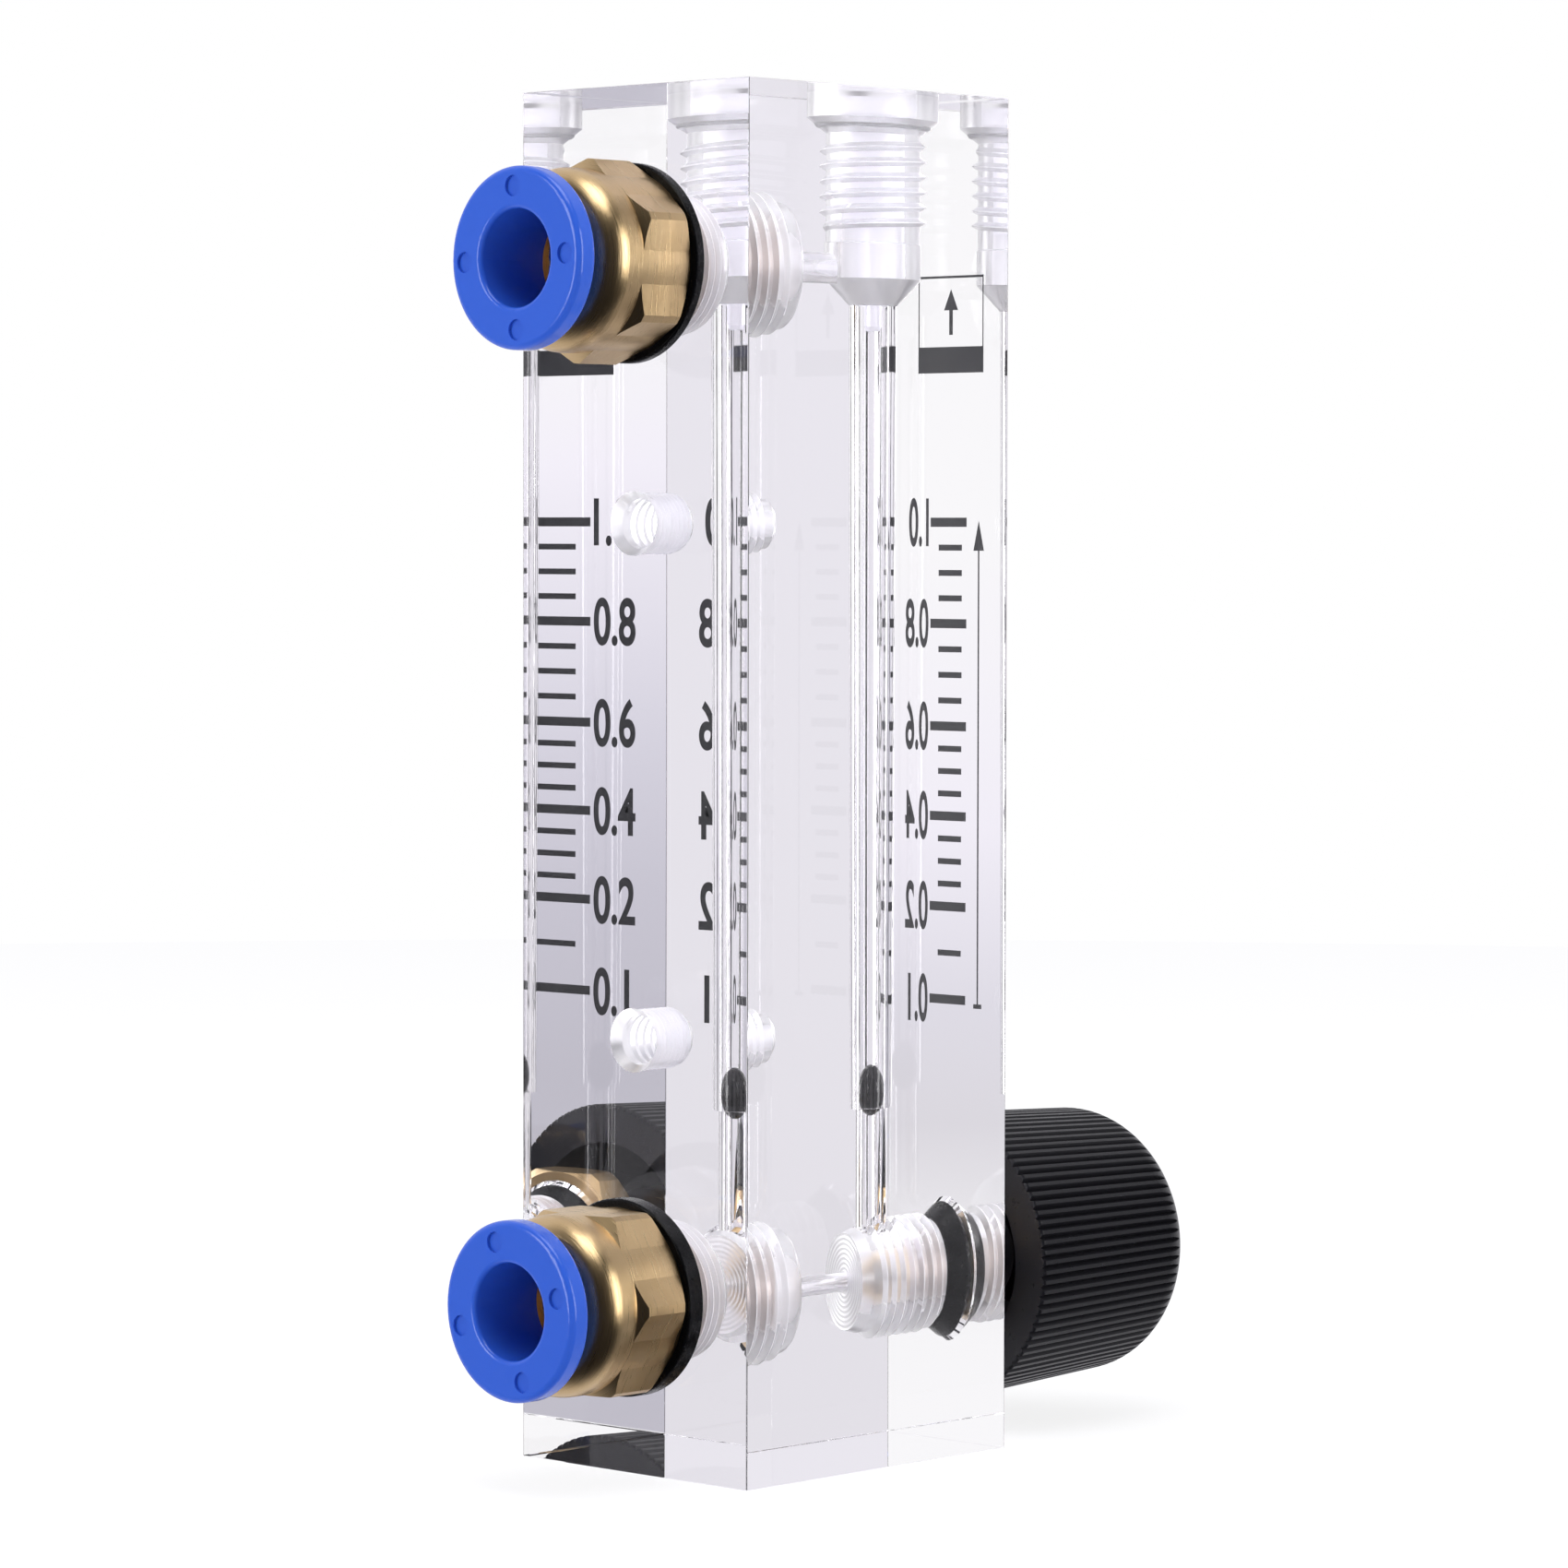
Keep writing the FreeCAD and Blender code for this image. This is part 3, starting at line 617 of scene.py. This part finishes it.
def tick_row_tree(material):
    """Evenly spaced printed bars that start at one height, as between two numbers of the scale."""
    sizes = {"Left": -2.4, "Length": 4.0, "Thickness": 0.35, "Start": 30.0, "Spacing": 1.5, "Count": 3.0,
             "Film": 0.03, "Depth": -12.5}
    tree, given, result = node_group("tick_row", sizes)
    half = add(tree, "ShaderNodeMath", {0: given.outputs["Length"], 1: 0.5}, operation="MULTIPLY")
    middle = add(tree, "ShaderNodeMath", {0: given.outputs["Left"], 1: half.outputs[0]})
    start = add(tree, "ShaderNodeCombineXYZ", {"X": middle.outputs[0], "Y": given.outputs["Depth"],
                                               "Z": given.outputs["Start"]})
    step = add(tree, "ShaderNodeCombineXYZ", {"Z": given.outputs["Spacing"]})
    line = add(tree, "GeometryNodeMeshLine", {"Count": given.outputs["Count"],
                                              "Start Location": start.outputs[0],
                                              "Offset": step.outputs[0]}, mode="OFFSET")
    size = add(tree, "ShaderNodeCombineXYZ", {"X": given.outputs["Length"], "Y": given.outputs["Film"],
                                              "Z": given.outputs["Thickness"]})
    bar = add(tree, "GeometryNodeMeshCube", {"Size": size.outputs[0]})
    bars = add(tree, "GeometryNodeInstanceOnPoints", {"Points": line.outputs[0],
                                                      "Instance": bar.outputs[0]})
    return finish_tree(tree, bars, result, material)


def slimmed(node, body, axis_height, reach, core_r, crest_r):
    """Stands in for a brass node, with its shank drawn down to its thread's core; reach is how far out."""
    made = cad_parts[node].copy()
    made.data = made.data.copy()
    made.name = node + "_turned"
    bpy.context.scene.collection.objects.link(made)
    on_shank = set()
    for vertex in made.data.vertices:
        x, y, z = vertex.co / MM
        across = math.hypot(x, z - axis_height)
        if abs(y) < reach and core_r < across < crest_r:
            squeeze = core_r / across
            vertex.co.x = x * squeeze * MM
            vertex.co.z = (axis_height + (z - axis_height) * squeeze) * MM
            on_shank.add(vertex.index)
    made.data.materials.clear()
    made.data.materials.append(BRASS)
    made.data.materials.append(CUT_BRASS)
    for face in made.data.polygons:
        face.material_index = int(on_shank.issuperset(face.vertices))
    for key in list(made.keys()):
        if key.startswith("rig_"):
            del made[key]
    made.parent = None
    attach(made, body)
    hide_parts(node)
    return made


def ease_stop(bushing):
    """Draws the bushing's inner step a hair away from the piston shoulder that meets it at full opening."""
    step = block_low.y - STOP_AHEAD
    near = 0.01
    for vertex in bushing.data.vertices:
        x, y, z = vertex.co / MM
        if abs(y - step) < near and math.hypot(x, z - valve_height) < STOP_BORE_D / 2 + near:
            vertex.co.y -= STOP_GAP * MM


def male_thread(name, slot, tree, origin, direction, start, thread):
    """Ridge that sits in the acrylic's groove; start is where its first turn lies along the hole."""
    base_r, crest_r, pitch, turns = thread
    core_r = base_r - CLEARANCE
    ridge_share = 0.62
    depth = ridge_share * (crest_r - core_r)
    made = grown(tree, name, {"Radius": crest_r - CLEARANCE - depth, "Depth": depth,
                              "Pitch": pitch, "Turns": turns})
    turn = UP.rotation_difference(direction).to_matrix().to_4x4()
    made.data.transform(Matrix.Translation(Vector(origin) + direction * start) @ turn)
    return finish_piece(made, "meter", slot)


def brass_threads():
    """Cores and threads of the two fittings' shanks and of the valve bushing inside the acrylic."""
    tree = thread_ridge_tree(CUT_BRASS)
    base_r, crest_r = thread_radii(PORT_THREAD_D, FINE_PITCH)
    core_r = base_r - CLEARANCE
    first_turn = PORT_THREAD_START + (3 + Thread.crest_share) * FINE_PITCH
    for side, height in port_height.items():
        slimmed(side + "_body", "meter", height, hexagon_back[side] + 0.01, core_r, crest_r)
        male_thread(side + "_shank_thread", "brass", tree, (0, block_high.y, height), BACK, first_turn,
                    (base_r, crest_r, FINE_PITCH, 3.6))
    base_r, crest_r = thread_radii(VALVE_THREAD_D, VALVE_PITCH)
    core_r = base_r - CLEARANCE
    first_turn = VALVE_THREAD_START + (4 + Thread.crest_share) * VALVE_PITCH
    reach = -block_low.y - VALVE_MOUTH_DEPTH + 0.2
    bushing = slimmed("valve_bushing", "meter", valve_height, reach, core_r, crest_r)
    ease_stop(bushing)
    male_thread("bushing_thread", "brass", tree, (0, block_low.y, valve_height), FRONT, first_turn,
                (base_r, crest_r, VALVE_PITCH, 2.2))


# ---------------------------------------------------------------- print

# Height of each number on the scale, and how many small ticks lie between it and the next
SCALE = ((0.1, 29.8, 1), (0.2, 36.06, 3), (0.4, 42.15, 3), (0.6, 48.2, 3), (0.8, 55.1, 3), (1.0, 61.9, 0))
INK_FILM = 0.03                  # thickness of the print, half of it in front of the block
MAIN_TICK = {"Left": -3.2, "Length": 6.2, "Thickness": 0.62}
SMALL_TICK = {"Left": -2.4, "Length": 4.0, "Thickness": 0.4}


def joined(pieces, name):
    """One object from several meshes of the same material."""
    form = bmesh.new()
    for piece in pieces:
        form.from_mesh(piece.data)
        bpy.data.objects.remove(piece)
    return as_object(form, name, (INK,))


def scale_ticks():
    """One main tick for each number and the rows of small ticks between them."""
    tree = tick_row_tree(INK)
    rows = []
    for index, (_, height, between) in enumerate(SCALE):
        place = {"Depth": block_low.y, "Film": INK_FILM, "Start": height}
        rows.append(grown(tree, "main", {**place, **MAIN_TICK, "Count": 1.0, "Spacing": 1.0}))
        if between:
            gap = (SCALE[index + 1][1] - height) / (between + 1)
            row = {**place, **SMALL_TICK, "Count": float(between), "Spacing": gap, "Start": height + gap}
            rows.append(grown(tree, "small", row))
    return finish_piece(joined(rows, "scale_ticks"), "meter", "acrylic")


def scale_numbers():
    """Condensed numerals beside the main ticks."""
    numerals = []
    digit_height, digit_left, squeeze = 3.2, 3.35, 0.74
    digit_share = 0.72           # of the font's size
    stroke_growth = 0.09
    upright = Matrix.Rotation(math.radians(90), 4, "X")
    condensed = Matrix.Diagonal((squeeze, 1, 1, 1))
    for value, height, _ in SCALE:
        curve = bpy.data.curves.new("number", "FONT")
        curve.body = f"{value:.1f}"
        curve.size = digit_height / digit_share
        curve.align_x = "LEFT"
        curve.align_y = "CENTER"
        curve.offset = stroke_growth
        curve.extrude = INK_FILM / 2
        drawn = bpy.data.objects.new("number", curve)
        bpy.context.scene.collection.objects.link(drawn)
        depsgraph = bpy.context.evaluated_depsgraph_get()
        mesh = bpy.data.meshes.new_from_object(drawn.evaluated_get(depsgraph))
        bpy.data.objects.remove(drawn)
        corners = [v.co for v in mesh.vertices]
        middle = (min(c.y for c in corners) + max(c.y for c in corners)) / 2
        left = min(c.x for c in corners)
        place = Matrix.Translation((digit_left, block_low.y, height))
        mesh.transform(place @ upright @ condensed @ Matrix.Translation((-left, -middle, 0)))
        numerals.append(bpy.data.objects.new("number", mesh))
    return finish_piece(joined(numerals, "scale_numbers"), "meter", "acrylic")


def flat_shape(outline):
    """Thin printed shape on the front face from (x, z) points."""
    form = bmesh.new()
    front = [form.verts.new((x, block_low.y - INK_FILM / 2, z)) for x, z in outline]
    back = [form.verts.new((x, block_low.y + INK_FILM / 2, z)) for x, z in outline]
    form.faces.new(front)
    form.faces.new(back[::-1])
    count = len(outline)
    for i in range(count):
        form.faces.new([front[i], back[i], back[(i + 1) % count], front[(i + 1) % count]])
    bmesh.ops.recalc_face_normals(form, faces=form.faces)
    return as_object(form, "shape")


def bar(left, right, low, high):
    return flat_shape([(left, low), (right, low), (right, high), (left, high)])


def name_field():
    """Plain framed field above the scale with a dark foot, and a flow arrow in it."""
    left, right, low, high = -6.0, 5.2, 71.9, 78.4
    line, foot = 0.16, 1.75
    shapes = [bar(left, right, low, low + foot), bar(left, right, high - line, high),
              bar(left, left + line, low + foot, high - line),
              bar(right - line, right, low + foot, high - line)]
    middle, top, base = (left + right) / 2, high - 0.9, low + foot + 0.8
    shaft, head, neck = 0.3, 1.2, top - 1.4
    shapes.append(flat_shape([(middle - shaft, base), (middle + shaft, base), (middle + shaft, neck),
                              (middle + head, neck), (middle, top), (middle - head, neck),
                              (middle - shaft, neck)]))
    return finish_piece(joined(shapes, "name_field"), "meter", "acrylic")


def flow_arrow():
    """Long thin arrow beside the scale that shows the way the gas flows."""
    middle, low, high = -5.3, 29.6, 62.0
    shaft, head, foot, neck = 0.12, 0.9, 0.7, high - 2.0
    shapes = [bar(middle - shaft, middle + shaft, low, neck),
              flat_shape([(middle - head, neck), (middle + head, neck), (middle, high)]),
              bar(middle - foot, middle + foot, low - 0.3, low)]
    return finish_piece(joined(shapes, "flow_arrow"), "meter", "acrylic")


# ---------------------------------------------------------------- carried-over nodes

def dress_nodes():
    """Gives its material to each solid that keeps its mesh."""
    finishes = {"float_ball": GLASS_BALL, "valve_o_ring": RUBBER, "needle_stem": STEEL,
                "stem_o_ring": RUBBER, "knob": NYLON, "top_plug_o_ring": SILICONE}
    for side in port_height:
        finishes.update({side + "_gasket": RUBBER, side + "_tube_seal": RUBBER, side + "_claw": SPRING,
                         side + "_retainer": BRASS, side + "_release_ring": BLUE})
    for name, material in finishes.items():
        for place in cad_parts[name].material_slots:
            place.material = material


# ---------------------------------------------------------------- studio

# Camera: angles in degrees, distances in millimetres from the middle of the block
CAMERA_AZIMUTH, CAMERA_ELEVATION, CAMERA_ROLL = 223.326, 2.43, 0.107
CAMERA_DISTANCE = 388.743
CAMERA_ASIDE, CAMERA_RAISED = 1.195, -0.467
CAMERA_LENS, SENSOR = 134.62, 36.0

# Softboxes: metres towards the camera, to its right and up, then width, height and watts
SOFTBOXES = {"left_softbox": (0.26, -0.55, 0.16, 0.22, 0.46, 1.8),
             "right_softbox": (0.24, 0.55, 0.16, 0.22, 0.46, 1.8),
             "top_softbox": (0.15, 0.0, 0.6, 0.35, 0.35, 1.5)}
LAMP_TARGET = Vector((0, 0, 0.045))

# Paper round the meter, from low to high: behind it and at its two sides
PAPER_BEHIND = ((0.0, "#E7E5EA"), (1.0, "#EFEDF3"))
PAPER_RIGHT = ((0.0, "#C2C0CA"), (0.34, "#C2C0CA"), (0.5, "#CBC9D4"), (0.62, "#D9D7E2"), (0.86, "#FAF7FF"),
               (1.0, "#FFFFFF"))
PAPER_LEFT = ((0.0, "#FFFFFF"), (0.12, "#FDFDFD"), (0.3, "#DEDCE1"), (0.4, "#E2E0E8"), (0.55, "#F7F4FC"),
              (0.8, "#FFFFFF"))
# Dark flags between the papers, evenly round the meter: each is the white part of its sector
FLAG_COUNT = 8
FLAG_SECTOR = ((0.39, "#000000"), (0.41, "#FFFFFF"), (0.59, "#FFFFFF"), (0.61, "#000000"))
FLAG_COLOUR = "#2A2A2E"
# Room that faces mirror, from behind the meter round to the camera's side
ROOM = ((0.0, "#F4F3F8"), (0.35, "#E8E7EC"), (0.45, "#B4B3B8"), (0.5, "#808085"), (0.56, "#48484C"),
        (0.68, "#232326"), (1.0, "#2E2E32"))
# Even light that matt surfaces get, half of it this and half the room's
LEVEL_LIGHT = "#D8D8DC"

FLOOR_R, FLOOR_DROP = 500, 0.25  # millimetres


def studio_axes():
    """Level directions towards the camera and to its right."""
    azimuth = math.radians(CAMERA_AZIMUTH)
    towards = Vector((math.sin(azimuth), -math.cos(azimuth), 0))
    right = Vector((math.cos(azimuth), math.sin(azimuth), 0))
    return towards, right


def camera():
    towards, right = studio_axes()
    elevation, roll = math.radians(CAMERA_ELEVATION), math.radians(CAMERA_ROLL)
    back = towards * math.cos(elevation) + UP * math.sin(elevation)
    up = back.cross(right)
    middle = Vector((0, 0, block_high.z / 2))
    place = (middle + back * CAMERA_DISTANCE + right * CAMERA_ASIDE + up * CAMERA_RAISED) * MM
    rolled_right = right * math.cos(roll) + up * math.sin(roll)
    rolled_up = up * math.cos(roll) - right * math.sin(roll)
    lens = bpy.data.cameras.new("camera")
    lens.lens, lens.sensor_width = CAMERA_LENS, SENSOR
    made = bpy.data.objects.new("camera", lens)
    axes = Matrix((rolled_right, rolled_up, back)).transposed().to_4x4()
    made.matrix_world = Matrix.Translation(place) @ axes
    bpy.context.scene.collection.objects.link(made)
    bpy.context.scene.camera = made


def softbox(name, place, size, power):
    light = bpy.data.lights.new(name, "AREA")
    light.shape = "RECTANGLE"
    light.size, light.size_y = size
    light.energy = power
    made = bpy.data.objects.new(name, light)
    made.location = place
    made.rotation_euler = (LAMP_TARGET - place).to_track_quat("-Z", "Y").to_euler()
    bpy.context.scene.collection.objects.link(made)


def along(tree, direction, axis):
    """How far a direction points along an axis, from -1 to 1."""
    product = add(tree, "ShaderNodeVectorMath", {0: direction, 1: axis}, operation="DOT_PRODUCT")
    return product.outputs["Value"]


def backdrop_colour(tree, direction):
    """Paper all round the meter, paler towards the top at its sides, and flags that edge clear parts."""
    right = studio_axes()[1]
    parts = add(tree, "ShaderNodeSeparateXYZ", {0: direction}).outputs
    height = ranged_from(tree, parts["Z"], -0.16, 0.04)
    behind, right_side, left_side = [ramp(tree, height, stops)
                                     for stops in (PAPER_BEHIND, PAPER_RIGHT, PAPER_LEFT)]
    aside = along(tree, direction, right)
    with_right = mix_colours(tree, ranged_from(tree, aside, 0.45, 0.8), behind, right_side)
    sides = mix_colours(tree, ranged_from(tree, aside, -0.45, -0.8), with_right, left_side)
    turn = add(tree, "ShaderNodeMath", {0: parts["Y"], 1: parts["X"]}, operation="ARCTAN2").outputs[0]
    steps = add(tree, "ShaderNodeMath", {0: turn, 1: FLAG_COUNT / math.tau}, operation="MULTIPLY").outputs[0]
    within = add(tree, "ShaderNodeMath", {0: steps}, operation="FRACT").outputs[0]
    return mix_colours(tree, ramp(tree, within, FLAG_SECTOR), sides, linear(FLAG_COLOUR))


def room_colour(tree, direction):
    """What polished faces mirror: the white backdrop behind the meter and a dim room in front of it."""
    towards = studio_axes()[0]
    return ramp(tree, ranged_from(tree, along(tree, direction, towards), -1.0, 1.0), ROOM)


def studio():
    """White to the camera, a paper sweep through the acrylic, a dim room in mirror images."""
    world = bpy.data.worlds.new("white_studio")
    bpy.context.scene.world = world
    world.use_nodes = True
    tree = world.node_tree
    tree.nodes.clear()
    rays = add(tree, "ShaderNodeLightPath").outputs
    direction = add(tree, "ShaderNodeTexCoord").outputs["Generated"]
    in_mirrors = ranged(tree, rays["Is Glossy Ray"], 0.5, 1.0)
    mirrored = mix_colours(tree, in_mirrors, linear(LEVEL_LIGHT), room_colour(tree, direction))
    through = mix_colours(tree, rays["Is Transmission Ray"], mirrored, backdrop_colour(tree, direction))
    seen = mix_colours(tree, rays["Is Camera Ray"], through, linear("#FFFFFF"))
    light = add(tree, "ShaderNodeBackground", {"Color": seen, "Strength": 1.0})
    output = add(tree, "ShaderNodeOutputWorld")
    tree.links.new(light.outputs[0], output.inputs["Surface"])
    towards, right = studio_axes()
    for name, (near, aside, height, width, tall, watts) in SOFTBOXES.items():
        softbox(name, towards * near + right * aside + UP * height, (width, tall), watts)


def floor():
    """Pale sweep under the meter, left out of what the clear block refracts, which is the backdrop."""
    material, tree, output = new_material("white_sweep")
    from_camera = add(tree, "ShaderNodeLightPath").outputs["Is Camera Ray"]
    paper = add(tree, "ShaderNodeBsdfDiffuse", {"Color": linear("#8A8A8C")})
    glow = add(tree, "ShaderNodeEmission", {"Color": linear("#FFFFFF"), "Strength": 0.8})
    both = add(tree, "ShaderNodeAddShader", {0: paper.outputs[0], 1: glow.outputs[0]})
    bright = add(tree, "ShaderNodeBsdfDiffuse", {"Color": linear("#E4E4E8")})
    finish_surface(tree, output, add(tree, "ShaderNodeMixShader", {0: from_camera, 1: bright.outputs[0],
                                                                   2: both.outputs[0]}))
    form = bmesh.new()
    bmesh.ops.create_circle(form, cap_ends=True, radius=FLOOR_R, segments=96)
    bmesh.ops.translate(form, vec=(0, 0, -FLOOR_DROP), verts=form.verts)
    bmesh.ops.scale(form, vec=(MM, MM, MM), verts=form.verts)
    sweep = as_object(form, "sweep", (material,))
    sweep.visible_transmission = sweep.visible_glossy = False


acrylic_block()
tube_plug()
brass_threads()
scale_ticks()
scale_numbers()
name_field()
flow_arrow()
dress_nodes()
camera()
studio()
floor()

scene = bpy.context.scene
scene.view_settings.view_transform = "Standard"
scene.cycles.max_bounces = 24
scene.cycles.glossy_bounces = 24
scene.cycles.transmission_bounces = 24
scene.cycles.transparent_max_bounces = 16
